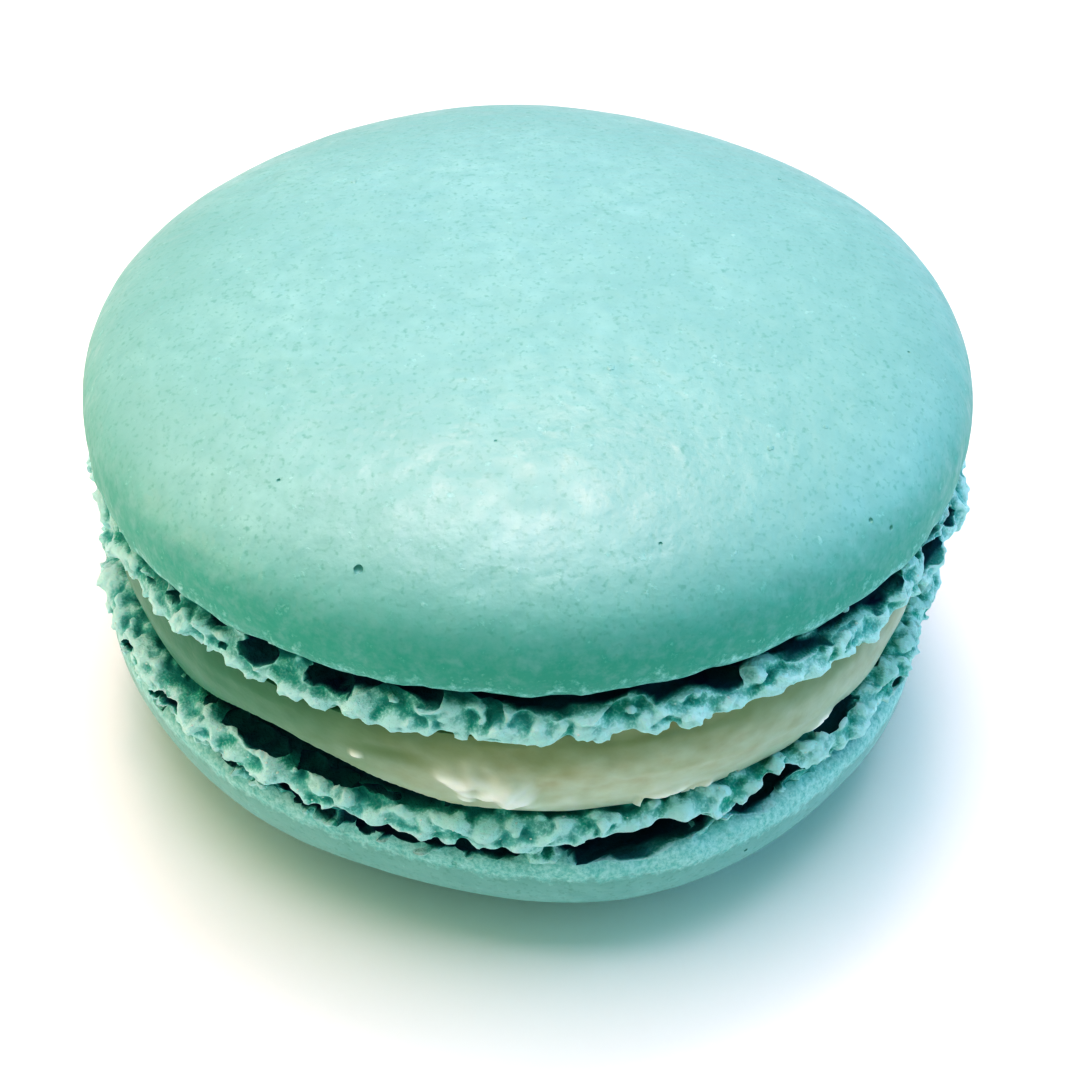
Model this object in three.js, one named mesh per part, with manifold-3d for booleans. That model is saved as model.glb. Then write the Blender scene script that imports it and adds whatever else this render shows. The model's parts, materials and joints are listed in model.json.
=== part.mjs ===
// A French macaron: two almond meringue shells, each a smooth cap baked in one with the ruffled
// crumb it rose on (its foot), pressed onto a wedge of buttercream.
// Millimetres, +Z up. The origin is on the table under the middle of the macaron.
import * as THREE from 'three';
import { mergeVertices } from 'three/addons/utils/BufferGeometryUtils.js';
import Module from 'manifold-3d';

const wasm = await Module();
wasm.setup();

const { degToRad, smoothstep } = THREE.MathUtils;

// ---- Driving dimensions, in mm and degrees ----

// Clearance between two pieces that touch.
const seatGap = 0.3;

// A cap is a dome over a nearly round outline. Its section is |r/R|^2.45 + |z/H|^2.82 = 1, a
// fuller curve than an ellipse, because the piped batter settled. Below its widest level the lip
// rolls under, `lipDrop` down and `lipTuck` in.
const domeSpread = 2.45;
const domeRise = 2.82;
const lipDrop = 1.05;
const lipTuck = 0.95;

// `level` is the height of the widest part of the cap above the table, and `side` says whether
// the cap faces up or down. `lean` turns the shell about X and Y. Each lobe pulls the outline out
// and in `waves` times a turn, by `reach`, the first time at `angle`.
// A foot goes `depth` below the cap's widest level. It starts `tuck` inside the cap's radius, swells
// to `flare` outside it at the share `crest` of its depth, and rolls in by `roll` at its flat side.
const topShell = {
  name: 'top_shell',
  side: 1,
  centre: [0.14, 0.29],
  level: 20.75,
  capRadius: 23.5,
  capHeight: 7.87,
  flatSpot: 0,
  lean: [-1.7, -0.94],
  lobes: [
    { waves: 2, reach: 0.28, angle: -13 },
    { waves: 3, reach: 0.13, angle: -8 },
    { waves: 4, reach: 0.11, angle: 7 },
    { waves: 5, reach: 0.08, angle: 24 },
    { waves: 6, reach: 0.07, angle: -26 },
  ],
  foot: {
    depth: 3.75,
    tuck: 1.0,
    flare: 0.4,
    crest: 0.78,
    roll: 1.1,
    lobes: [
      { waves: 1, reach: 0.3, angle: -20 },
      { waves: 2, reach: 0.3, angle: -15 },
    ],
    seed: 11,
  },
};

const bottomShell = {
  name: 'bottom_shell',
  side: -1,
  centre: [-0.02, -0.43],
  level: 7.9,
  capRadius: 23.29,
  capHeight: 8.02,
  flatSpot: 0.12,
  lean: [0, 0],
  lobes: [
    { waves: 2, reach: 0.23, angle: -32 },
    { waves: 3, reach: 0.29, angle: -51 },
    { waves: 4, reach: 0.2, angle: 25 },
    { waves: 5, reach: 0.12, angle: -19 },
    { waves: 7, reach: 0.15, angle: -22 },
  ],
  foot: {
    depth: 4,
    tuck: 0.55,
    flare: 0.55,
    crest: 0.55,
    roll: 1.9,
    lobes: [
      { waves: 2, reach: 0.55, angle: 0 },
      { waves: 3, reach: 0.12, angle: 60 },
    ],
    seed: 23,
  },
};

// The buttercream swells by `bulge` between the shells. At the `undercut` it pulled back from the
// lower shell and draws in under itself.
const filling = {
  name: 'filling',
  radius: 22.5,
  bulge: 0.6,
  lobes: [
    { waves: 1, reach: 0.22, angle: -45 },
    { waves: 3, reach: 0.15, angle: -85 },
    { waves: 5, reach: 0.12, angle: 20 },
  ],
  undercut: { angle: -118, spread: 16, depth: 1.1 },
  seed: 5,
};

// Hollows where bubbles burst and the crumb tore: the angle round the shell, how far below the
// cap's widest level, then half the width along the rim, half the height, and the reach inwards.
const topHollows = [
  { angle: -139, below: 1.25, width: 1.0, height: 0.45, depth: 1.4 },
  { angle: -129, below: 1.7, width: 0.9, height: 0.5, depth: 1.4 },
  { angle: -117, below: 1.4, width: 1.7, height: 0.6, depth: 1.9 },
  { angle: -105, below: 1.2, width: 1.5, height: 0.5, depth: 1.6 },
  { angle: -92, below: 1.15, width: 3.1, height: 0.45, depth: 1.6 },
  { angle: -80, below: 1.2, width: 1.5, height: 0.45, depth: 1.5 },
  { angle: -66, below: 1.4, width: 1.3, height: 0.8, depth: 2.0 },
  { angle: -59, below: 1.3, width: 0.8, height: 0.45, depth: 1.4 },
  { angle: -48, below: 1.35, width: 1.6, height: 0.45, depth: 1.5 },
  { angle: -29, below: 1.6, width: 1.0, height: 0.65, depth: 1.6 },
];
const bottomHollows = [
  { angle: -141, below: 2.1, width: 0.8, height: 0.6, depth: 1.3 },
  { angle: -131, below: 1.6, width: 1.0, height: 0.5, depth: 1.4 },
  { angle: -107, below: 1.4, width: 1.5, height: 0.5, depth: 1.8 },
  { angle: -97, below: 1.6, width: 1.3, height: 0.55, depth: 1.6 },
  { angle: -76, below: 1.8, width: 3.2, height: 0.65, depth: 2.6 },
  { angle: -57, below: 2.2, width: 1.5, height: 0.85, depth: 2.2 },
  { angle: -38, below: 1.5, width: 0.9, height: 0.5, depth: 1.2 },
];
// The crumb is the same round the far side: a seeded spread of hollows between two angles.
const farHollows = { count: 7, from: -5, to: 200 };

// Facets round each form, and steps up its section.
const facets = { cap: 72, capRings: 9, foot: 116, footRings: 9, filling: 96, fillingRings: 7, hollow: 9 };

// ---- Shared rules ----

// A small repeatable random source, so that every build gives the same macaron.
function seededRandom(seed) {
  const span = 2 ** 32;
  let state = (seed * 2654435761) % span;
  return () => {
    state = (state * 1664525 + 1013904223) % span;
    return state / span;
  };
}

// Smooth noise between -1 and 1 on a band that closes on itself: `bumps` cells round, `rows` up it.
function bandNoise(bumps, rows, random) {
  const grid = Array.from({ length: bumps * (rows + 1) }, () => random() * 2 - 1);
  const ease = (t) => t * t * (3 - 2 * t);
  return (angle, height) => {
    const around = (((angle / (2 * Math.PI)) % 1 + 1) % 1) * bumps;
    const up = Math.min(Math.max(height, 0), 1) * (rows - 1);
    const column = Math.floor(around) % bumps;
    const row = Math.floor(up);
    const at = (c, r) => grid[((column + c) % bumps) + bumps * (row + r)];
    const u = ease(around - Math.floor(around));
    const low = at(0, 0) + (at(1, 0) - at(0, 0)) * u;
    const high = at(0, 1) + (at(1, 1) - at(0, 1)) * u;
    return low + (high - low) * ease(up - row);
  };
}

// How far an outline stands out of its circle at an angle in radians.
function lobeReach(lobes, angle) {
  const pull = ({ waves, reach, angle: first }) => reach * Math.cos(waves * (angle - degToRad(first)));
  return lobes.reduce((sum, lobe) => sum + pull(lobe), 0);
}

// Turns a section of [radius, height] points, from the bottom up, about Z, and lets `shape` move
// each point of the surface out, in, up or down.
function turned(section, around, shape) {
  const points = section.map(([radius, height]) => new THREE.Vector2(radius, height));
  const geometry = new THREE.LatheGeometry(points, around).rotateX(Math.PI / 2);
  const position = geometry.attributes.position;
  for (let i = 0; i < position.count; i += 1) {
    const radius = Math.hypot(position.getX(i), position.getY(i));
    const angle = Math.atan2(position.getY(i), position.getX(i));
    const spot = shape(radius, angle, position.getZ(i));
    position.setXYZ(i, spot.radius * Math.cos(angle), spot.radius * Math.sin(angle), spot.height);
  }
  return geometry;
}

// A closed geometry as a solid that can be joined and cut.
function toSolid(geometry) {
  geometry.deleteAttribute('normal');
  geometry.deleteAttribute('uv');
  const merged = mergeVertices(geometry, 1e-4);
  const triangles = [];
  for (let i = 0; i < merged.index.count; i += 3) {
    const [a, b, c] = [0, 1, 2].map((corner) => merged.index.getX(i + corner));
    if (a !== b && b !== c && c !== a) triangles.push(a, b, c);
  }
  return new wasm.Manifold(new wasm.Mesh({
    numProp: 3,
    vertProperties: new Float32Array(merged.attributes.position.array),
    triVerts: new Uint32Array(triangles),
  }));
}

function toGeometry(solid) {
  const mesh = solid.getMesh();
  const geometry = new THREE.BufferGeometry();
  geometry.setAttribute('position', new THREE.BufferAttribute(mesh.vertProperties, 3));
  geometry.setIndex(new THREE.BufferAttribute(mesh.triVerts, 1));
  geometry.computeVertexNormals();
  return geometry;
}

// ---- The shells, each built cap up, with the widest part of its cap at height 0 ----

// The cap's section: its flat underside, the rolled lip, then the dome up to the crown.
function capSection({ capRadius, capHeight }) {
  const roll = [[capRadius - lipTuck, -lipDrop], [capRadius - 0.3 * lipTuck, -0.72 * lipDrop]];
  const dome = [];
  for (let ring = 0; ring < facets.capRings; ring += 1) {
    const t = (ring / facets.capRings) * (Math.PI / 2);
    dome.push([capRadius * Math.cos(t) ** (2 / domeSpread), capHeight * Math.sin(t) ** (2 / domeRise)]);
  }
  return [[0, -lipDrop], ...roll, ...dome, [0, capHeight]];
}

function capSolid(shell) {
  const { capRadius, capHeight, lobes, flatSpot, side } = shell;
  return toSolid(turned(capSection(shell), facets.cap, (radius, angle, height) => ({
    radius: radius * (1 + lobeReach(lobes, side * angle) / capRadius),
    height: Math.min(height, capHeight - flatSpot),
  })));
}

// The foot's section: a disc of crumb whose edge draws in under the lip and flares out below it.
function footSection({ capRadius, foot }) {
  const { depth, tuck, flare, crest, roll } = foot;
  const start = 0.5 * lipDrop;
  const edge = [];
  for (let ring = 0; ring <= facets.footRings; ring += 1) {
    const t = ring / facets.footRings;
    const swell = -tuck + (flare + tuck) * (1 - Math.cos(Math.PI * t / crest)) / 2;
    const turn = flare - roll * (1 - Math.sqrt(1 - Math.max((t - crest) / (1 - crest), 0) ** 2));
    edge.push([capRadius + (t < crest ? swell : turn), -start - t * (depth - start)]);
  }
  return [[0, -depth], ...edge.reverse(), [0, -start]];
}

// The foot's edge is ruffled: broad waves swing it in and out, and finer crumb roughens it.
function footSolid(shell) {
  const { capRadius, foot, side } = shell;
  const random = seededRandom(foot.seed);
  const ruffle = bandNoise(44, 4, random);
  const crumb = bandNoise(92, 8, random);
  return toSolid(turned(footSection(shell), facets.foot, (radius, angle, height) => {
    const below = -height / foot.depth;
    const rim = smoothstep(radius, capRadius - foot.roll - 0.8, capRadius - 0.3);
    const frill = rim * smoothstep(below, 0.1, 0.5);
    const out = frill * (lobeReach(foot.lobes, side * angle) + 0.32 * ruffle(angle, below))
      + rim * 0.26 * crumb(angle, below);
    const lift = frill * 0.18 * ruffle(angle + 1, below);
    return { radius: radius + out, height: height + lift };
  }));
}

// One hollow: a rounded space that reaches in from the foot's edge.
function hollowSolid(shell, { angle, below, width, height, depth }) {
  const space = new THREE.SphereGeometry(1, facets.hollow, facets.hollow - 2);
  space.scale(depth, width, height);
  space.translate(shell.capRadius + 0.1, 0, -below);
  space.rotateZ(degToRad(shell.side * angle));
  return toSolid(space);
}

function spreadHollows({ foot }) {
  const random = seededRandom(foot.seed + 100);
  const step = (farHollows.to - farHollows.from) / farHollows.count;
  return Array.from({ length: farHollows.count }, (_, i) => ({
    angle: farHollows.from + (i + 0.2 + 0.6 * random()) * step,
    below: 1.2 + 0.8 * random(),
    width: 0.9 + 1.5 * random(),
    height: 0.4 + 0.3 * random(),
    depth: 1.2 + 0.8 * random(),
  }));
}

function shellSolid(shell, hollows) {
  const cut = (solid, hollow) => solid.subtract(hollowSolid(shell, hollow));
  return [...hollows, ...spreadHollows(shell)].reduce(cut, capSolid(shell).add(footSolid(shell)));
}

// ---- The filling: a buttercream wedge that fills the space between the two feet ----

// The height of the upper foot's flat side above a point. It leans with the shell.
function upperSeat(x, y) {
  const [aboutX, aboutY] = topShell.lean.map(degToRad);
  const [centreX, centreY] = topShell.centre;
  return topShell.level - topShell.foot.depth
    + (y - centreY) * Math.tan(aboutX) - (x - centreX) * Math.tan(aboutY);
}

// How far the cream draws in at an angle, most at its lower edge.
function undercutReach(angle, up) {
  const { angle: middle, spread, depth } = filling.undercut;
  const away = (angle - degToRad(middle)) / degToRad(spread);
  return depth * Math.exp(-(away ** 2)) * (1 - up);
}

function fillingSolid() {
  const { radius, bulge, lobes, seed } = filling;
  const lowerSeat = bottomShell.level + bottomShell.foot.depth + seatGap;
  const swell = bandNoise(26, 3, seededRandom(seed));
  const side = Array.from({ length: facets.fillingRings + 1 }, (_, ring) => {
    const up = ring / facets.fillingRings;
    return [radius + bulge * Math.sin(Math.PI * up), up];
  });
  return toSolid(turned([[0, 0], ...side, [0, 1]], facets.filling, (r, angle, up) => {
    const out = lobeReach(lobes, angle) + 0.12 * swell(angle, up) - undercutReach(angle, up);
    const reach = r > 0 ? r + out : 0;
    const ceiling = upperSeat(reach * Math.cos(angle), reach * Math.sin(angle)) - seatGap;
    return { radius: reach, height: lowerSeat + up * (ceiling - lowerSeat) };
  }));
}

// ---- The pieces ----

const meringue = () => new THREE.MeshStandardMaterial({ color: '#8fd3c6', roughness: 0.5, metalness: 0 });
const buttercream = () => new THREE.MeshStandardMaterial({ color: '#dcdcb8', roughness: 0.4, metalness: 0 });

function shellMesh(shell, hollows) {
  const mesh = new THREE.Mesh(toGeometry(shellSolid(shell, hollows)), meringue());
  const [aboutX, aboutY] = shell.lean.map(degToRad);
  mesh.name = shell.name;
  mesh.position.set(...shell.centre, shell.level);
  mesh.rotation.set(shell.side > 0 ? aboutX : aboutX + Math.PI, aboutY, 0);
  return mesh;
}

function fillingMesh() {
  const mesh = new THREE.Mesh(toGeometry(fillingSolid()), buttercream());
  mesh.name = filling.name;
  return mesh;
}

const group = new THREE.Group();
group.add(shellMesh(bottomShell, bottomHollows), fillingMesh(), shellMesh(topShell, topHollows));

export default group;
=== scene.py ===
import json
import math
import random

import bpy
import numpy as np
from mathutils import Matrix, Vector, noise

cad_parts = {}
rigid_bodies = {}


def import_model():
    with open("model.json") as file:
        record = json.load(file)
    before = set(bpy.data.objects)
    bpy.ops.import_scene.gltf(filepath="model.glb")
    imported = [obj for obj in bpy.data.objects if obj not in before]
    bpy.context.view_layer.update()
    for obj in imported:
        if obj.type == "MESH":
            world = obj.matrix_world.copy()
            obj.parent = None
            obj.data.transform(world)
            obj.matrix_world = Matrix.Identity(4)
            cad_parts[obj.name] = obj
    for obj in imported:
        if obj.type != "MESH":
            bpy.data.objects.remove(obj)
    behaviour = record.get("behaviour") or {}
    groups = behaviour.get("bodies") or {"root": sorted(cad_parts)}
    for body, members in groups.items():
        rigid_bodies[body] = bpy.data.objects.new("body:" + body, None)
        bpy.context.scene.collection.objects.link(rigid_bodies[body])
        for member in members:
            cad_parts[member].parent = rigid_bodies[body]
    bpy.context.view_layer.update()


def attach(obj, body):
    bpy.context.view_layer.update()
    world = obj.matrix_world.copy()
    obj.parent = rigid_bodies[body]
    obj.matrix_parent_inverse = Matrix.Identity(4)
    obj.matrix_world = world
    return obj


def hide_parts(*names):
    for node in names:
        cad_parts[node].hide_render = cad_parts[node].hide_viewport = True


# A French macaron: two baked almond meringue shells with frothy feet and a wedge of buttercream.
# Sizes in the dictionaries are millimetres, and the scene is in metres.
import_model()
mm = 0.001
print("frame loaded")


def deselectAll():
    if bpy.context.object and bpy.context.object.mode != 'OBJECT':
        bpy.ops.object.mode_set(mode='OBJECT')
    bpy.ops.object.select_all(action='DESELECT')


def pickOnly(piece):
    deselectAll()
    piece.select_set(True)
    bpy.context.view_layer.objects.active = piece


def useModifier(piece, kind, **settings):   # adds a modifier, sets it up and applies it
    pickOnly(piece)
    modifier = piece.modifiers.new(kind.lower(), kind)
    for setting, value in settings.items():
        setattr(modifier, setting, value)
    bpy.ops.object.modifier_apply(modifier=modifier.name)


def linearColour(hexText):
    parts = [int(hexText[i:i + 2], 16) / 255 for i in (1, 3, 5)]
    return tuple(c / 12.92 if c <= 0.04045 else ((c + 0.055) / 1.055) ** 2.4 for c in parts) + (1.0,)


def addNode(tree, kind, settings=None, links=None):   # inputs by name or number, properties by name
    node = tree.nodes.new(kind)
    for name, value in (settings or {}).items():
        if isinstance(name, str) and hasattr(node, name):
            setattr(node, name, value)
        else:
            node.inputs[name].default_value = value
    for name, source in (links or {}).items():
        tree.links.new(source, node.inputs[name])
    return node


def readPoints(piece):
    points = np.empty(len(piece.data.vertices) * 3)
    piece.data.vertices.foreach_get("co", points)
    return points.reshape(-1, 3) / mm


def writePoints(piece, points):
    piece.data.vertices.foreach_set("co", (points * mm).ravel())
    piece.data.update()


def joinPieces(pieces, name):
    deselectAll()
    for piece in pieces:
        piece.select_set(True)
    bpy.context.view_layer.objects.active = pieces[0]
    bpy.ops.object.join()
    joined = bpy.context.object
    joined.name = name
    return joined


def lobeReach(lobes, angle):   # how far an outline stands out of its circle, in mm
    return sum(reach * np.cos(waves * (angle - math.radians(first))) for waves, reach, first in lobes)


def easeStep(value, low, high):
    t = np.clip((value - low) / (high - low), 0, 1)
    return t * t * (3 - 2 * t)


def raggedness(points, size, reach):   # uneven by up to about `reach` mm, over `size` mm
    return np.array([noise.noise(Vector(point / size)) for point in points]) * reach


# A turned form, as on a potter's wheel: a circle extruded from ring to ring along a section.
def turnSection(name, section, around, ends):
    deselectAll()
    radius, height = section[0]
    bpy.ops.mesh.primitive_circle_add(vertices=around, radius=radius * mm, location=(0, 0, height * mm))
    bpy.ops.object.transform_apply(location=True)
    piece = bpy.context.object
    piece.name = name
    bpy.ops.object.mode_set(mode='EDIT')
    bpy.ops.mesh.select_all(action='SELECT')
    for (radius, height), (nextRadius, nextHeight) in zip(section, section[1:]):
        rise = (0, 0, (nextHeight - height) * mm)
        bpy.ops.mesh.extrude_region_move(TRANSFORM_OT_translate={"value": rise})
        grow = nextRadius / radius
        bpy.ops.transform.resize(value=(grow, grow, 1), center_override=(0, 0, nextHeight * mm))
    bpy.ops.mesh.select_all(action='DESELECT')
    bpy.ops.mesh.select_non_manifold()
    if ends == "bridge":
        bpy.ops.mesh.bridge_edge_loops()
    else:
        bpy.ops.mesh.fill_holes(sides=0)
    bpy.ops.mesh.select_all(action='SELECT')
    bpy.ops.mesh.normals_make_consistent(inside=False)
    bpy.ops.object.mode_set(mode='OBJECT')
    return piece


cameraSettings = {
    "place": (0.14, -75.06, 81.73), "aim": (1.06, -4.72, 13.0), "roll": 1.34,
    "lens": 58.9, "sensor": 36, "nearest": 5,
}

lightSettings = {
    "zenithPanel": {"place": (0, 20, 330), "size": (220, 220), "power": 0.585, "colour": "#ffd9ee"},
    "leftPanel": {"place": (-230, 40, 300), "size": (240, 400), "power": 0.35, "colour": "#ffc49c"},
    "rightPanel": {"place": (330, 40, 170), "size": (200, 200), "power": 0.215, "colour": "#9ac4ff"},
    "leftLowPanel": {"place": (-330, -60, 60), "size": (200, 100), "power": 0.215, "colour": "#ffcaac"},
    "rightLowPanel": {"place": (330, -60, 60), "size": (200, 100), "power": 0.085, "colour": "#e0dcfa"},
    "frontPanel": {"place": (0, -200, 330), "size": (400, 200), "power": 0.13, "colour": "#f4ffee"},
    "backPanel": {"place": (0, 380, 200), "size": (300, 160), "power": 0.13, "colour": "#bec6ff"},
    "lampPanel": {"place": (-8, 95, 330), "size": (90, 45), "power": 0.25, "colour": "#ffbca8"},
}

roomSettings = {
    "lightAim": (0, 0, 18), "airColour": "#d0f2e0", "airStrength": 0.2,
    "cardSize": 3000, "cardColour": "#e4f6f4", "cardRoughness": 0.7,
}


def turnToward(place, aim):
    return (Vector(aim) - Vector(place)).to_track_quat('-Z', 'Y')


def setCamera():
    place, aim = cameraSettings["place"], cameraSettings["aim"]
    bpy.ops.object.camera_add(location=[v * mm for v in place])
    camera = bpy.context.object
    camera.name = "camera"
    roll = Matrix.Rotation(math.radians(cameraSettings["roll"]), 3, 'Z')
    camera.rotation_euler = (turnToward(place, aim).to_matrix() @ roll).to_euler()
    camera.data.lens = cameraSettings["lens"]
    camera.data.sensor_width = cameraSettings["sensor"]
    camera.data.sensor_fit = 'HORIZONTAL'
    camera.data.clip_start = cameraSettings["nearest"] * mm
    bpy.context.scene.camera = camera


def setLights():
    for name, light in lightSettings.items():
        bpy.ops.object.light_add(type='AREA', location=[v * mm for v in light["place"]])
        lamp = bpy.context.object
        lamp.name = name
        lamp.rotation_euler = turnToward(light["place"], roomSettings["lightAim"]).to_euler()
        lamp.data.shape = 'RECTANGLE'
        lamp.data.size, lamp.data.size_y = (v * mm for v in light["size"])
        lamp.data.energy = light["power"]
        lamp.data.color = linearColour(light["colour"])[:3]
    world = bpy.data.worlds.new("studioRoom")
    bpy.context.scene.world = world
    world.use_nodes = True
    background = world.node_tree.nodes["Background"]
    background.inputs["Color"].default_value = linearColour(roomSettings["airColour"])
    background.inputs["Strength"].default_value = roomSettings["airStrength"]
    bpy.context.scene.view_settings.view_transform = 'Standard'
    bpy.context.scene.view_settings.look = 'Very High Contrast'


def setFloor():   # smooth white card, faintly cool
    deselectAll()
    bpy.ops.mesh.primitive_plane_add(size=roomSettings["cardSize"] * mm, location=(0, 0, 0))
    floor = bpy.context.object
    floor.name = "floor"
    card = bpy.data.materials.new("paperCard")
    card.use_nodes = True
    shader = card.node_tree.nodes["Principled BSDF"]
    shader.inputs["Base Color"].default_value = linearColour(roomSettings["cardColour"])
    shader.inputs["Roughness"].default_value = roomSettings["cardRoughness"]
    floor.data.materials.append(card)


setCamera()
setLights()
setFloor()
print("camera, lights and floor set")


def startMaterial(name):
    material = bpy.data.materials.new(name)
    material.use_nodes = True
    tree = material.node_tree
    place = addNode(tree, "ShaderNodeTexCoord").outputs["Object"]
    return material, tree, tree.nodes["Principled BSDF"], place


# Colours laid one over another: each layer is a hex colour or a socket, and the share of it that shows.
def layColours(tree, ground, *layers):
    for colour, share in layers:
        mix = addNode(tree, "ShaderNodeMix", {"data_type": 'RGBA'}, {0: share})
        for socket, end in ((6, ground), (7, colour)):
            if isinstance(end, str):
                mix.inputs[socket].default_value = linearColour(end)
            else:
                tree.links.new(end, mix.inputs[socket])
        ground = mix.outputs[2]
    return ground


# Patches of a size in mm: noise stretched between two of its values to run from 0 to 1.
def makePatches(tree, place, size, low=0.35, high=0.65, detail=2, rough=0.5):
    settings = {"Scale": 1 / (size * mm), "Detail": detail, "Roughness": rough}
    cloud = addNode(tree, "ShaderNodeTexNoise", settings, {"Vector": place}).outputs["Fac"]
    spread = {"From Min": low, "From Max": high}
    return addNode(tree, "ShaderNodeMapRange", spread, {"Value": cloud}).outputs[0]


def stackBumps(tree, shader, bumps):   # (height, depth in mm, strength), finest last
    normal = None
    for height, depth, strength in bumps:
        links = {"Height": height, "Normal": normal} if normal else {"Height": height}
        bump = addNode(tree, "ShaderNodeBump", {"Distance": depth * mm, "Strength": strength}, links)
        normal = bump.outputs["Normal"]
    tree.links.new(normal, shader.inputs["Normal"])


# A piece's own marks. On a shell X is how far a point stands out, less than nought deep in a hollow, for
# painted light and shade, Y the painted shade toward the lip and Z how crumbly; on the cream X is a painted
# highlight and painted light, Y painted shade and Z painted shade near the upper shell.
def readMarks(tree):
    marks = addNode(tree, "ShaderNodeAttribute", {"attribute_name": "marks"})
    return addNode(tree, "ShaderNodeSeparateXYZ", {}, {0: marks.outputs["Vector"]}).outputs


def letLightIn(shader, look):
    shader.inputs["Subsurface Weight"].default_value = look["lightIn"]
    shader.inputs["Subsurface Radius"].default_value = look["lightDepth"]
    shader.inputs["Subsurface Scale"].default_value = mm


# Meringue crumb: the foot is the same batter risen as foam and torn, matt and full of pores. It is painted
# pale where the broken edges stand out, painted light, and deep green in recesses, painted shade.
crumbLook = {
    "colour": "#6eccc6", "paleColour": "#c2f4f2", "recessShadeColour": "#2c9490", "clumpColour": "#42baa6",
    "hollowShadeColour": "#103a56",
    "clumpSize": 1.6, "grainSize": 0.3, "grainDepth": 0.08, "speckSize": 0.14, "speckDepth": 0.035,
    "poreSize": 0.36, "poreDepth": 0.11, "dusting": (0.9, -0.35),
    # from and to which relief the painted shade of a recess lifts to level, the painted light of a ridge
    # comes in, and the painted shade turns as dark as a hollow's
    "sunk": (0.0, 0.4), "raised": (0.42, 0.78), "footHollowShade": (-0.1, -0.8), "burstHollowShade": (0.6, -0.1),
    # painted shade in creases: from and to which pointiness it lifts
    "creaseShade": (0.36, 0.52),
    "ior": 1.4, "gloss": 0.3, "roughness": 0.8, "lightIn": 0.35, "lightDepth": (0.25, 0.6, 0.5),
}


def makeCrumb(name, dark):
    material, tree, shader, place = startMaterial(name)
    clump = makePatches(tree, place, crumbLook["clumpSize"], 0.38, 0.62, 3, 0.6)
    grain = makePatches(tree, place, crumbLook["grainSize"], 0.25, 0.75, 4, 0.7)
    speck = makePatches(tree, place, crumbLook["speckSize"], 0.3, 0.7)
    poreScale = {"Scale": 1 / (crumbLook["poreSize"] * mm)}
    pores = addNode(tree, "ShaderNodeTexVoronoi", poreScale, {"Vector": place}).outputs["Distance"]
    relief = readMarks(tree)["X"]
    edge = addNode(tree, "ShaderNodeNewGeometry").outputs["Pointiness"]
    # Painted shade in recesses, creases and hollows, and painted light where the crumb stands out.
    spans = ((relief, crumbLook["sunk"]), (relief, crumbLook["raised"]), (relief, dark),
             (edge, crumbLook["creaseShade"]))
    level, high, hollowShade, whole = [
        addNode(tree, "ShaderNodeMapRange", {"From Min": start, "From Max": end}, {"Value": value}).outputs[0]
        for value, (start, end) in spans]
    share, least = crumbLook["dusting"]
    settings = {"operation": 'MULTIPLY_ADD', 1: share, 2: least, "use_clamp": True}
    dusted = addNode(tree, "ShaderNodeMath", settings, {0: speck}).outputs[0]
    settings = {"operation": 'ADD', "use_clamp": True}
    pale = addNode(tree, "ShaderNodeMath", settings, {0: high, 1: dusted}).outputs[0]
    clumped = layColours(tree, crumbLook["clumpColour"], (crumbLook["colour"], clump),
                         (crumbLook["paleColour"], pale))
    sunk = layColours(tree, crumbLook["recessShadeColour"], (clumped, level), (crumbLook["hollowShadeColour"], hollowShade))
    tree.links.new(layColours(tree, crumbLook["recessShadeColour"], (sunk, whole)), shader.inputs["Base Color"])
    shader.inputs["IOR"].default_value = crumbLook["ior"]
    shader.inputs["Specular IOR Level"].default_value = crumbLook["gloss"]
    shader.inputs["Roughness"].default_value = crumbLook["roughness"]
    letLightIn(shader, crumbLook)
    stackBumps(tree, shader, ((pores, crumbLook["poreDepth"], 0.8), (grain, crumbLook["grainDepth"], 0.9),
                              (speck, crumbLook["speckDepth"], 0.9)))
    return material


# Baked meringue skin: whipped egg white, sugar and ground almond dried to an eggshell, satin and
# nearly smooth, with the almond showing as a faint dark grain. Near the lip it is torn to crumb.
# Painted shade makes the skin darker and deeper green toward the lip.
skinLook = {
    "colour": "#82c0bb", "grainColour": "#74b6ad", "paleColour": "#91cdc8", "lipShadeColour": "#43b2a0",
    "driftSize": 8, "mottleSize": 1.0, "blotchSize": 1.6, "grainSize": 0.28,
    "fleckSize": 0.7, "tornSize": 0.7,
    # how unevenly the painted shade at the lip comes, and from and to which amount the skin is crumb
    "lipShadeShare": (0.9, 0.55), "tornShare": 0.8, "torn": (0.65, 1.15),
    "swellSize": 2.2, "swellDepth": 0.18, "fineSize": 0.5, "fineDepth": 0.03, "gritDepth": 0.05,
    "ior": 1.5, "sheen": 0.05, "sheenRoughness": 0.5, "roughness": (0.38, 0.52),
}


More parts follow.
